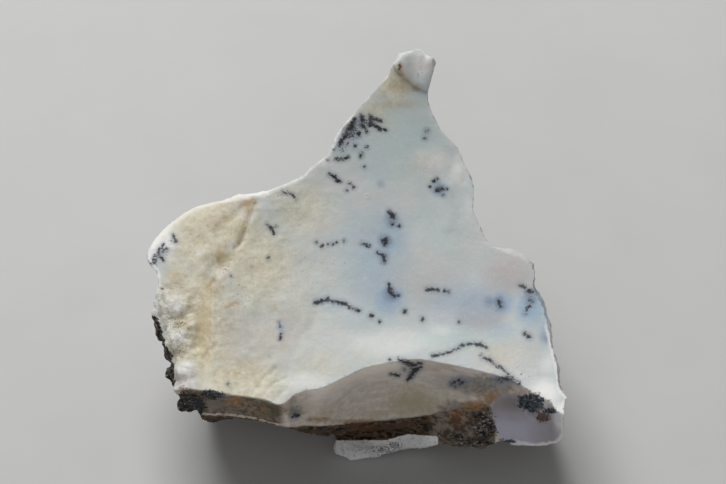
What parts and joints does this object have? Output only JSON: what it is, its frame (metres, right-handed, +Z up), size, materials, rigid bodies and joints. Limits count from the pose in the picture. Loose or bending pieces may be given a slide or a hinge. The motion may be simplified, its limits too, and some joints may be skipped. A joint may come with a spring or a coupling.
{
  "type": "dendritic opal",
  "caption": "Rough broken piece of milky opal with dark dendrites, a hollow face with a tall spire, and a brown crust underneath.",
  "frame": {"origin": "on the surface the stone lies on, under the middle of its box", "axes": "+Z up as the stone lies, +X along its longest side to the viewer's right, -Y towards the viewer, whom the hollow face leans to"},
  "size_m": [0.064, 0.0592, 0.0426],
  "materials": {
    "opal": "milky, slightly waxy broken opal with black dendrites and a rough brown crust"
  },
  "bodies": {
    "root": {"opal": "opal"}
  },
  "joints": []
}
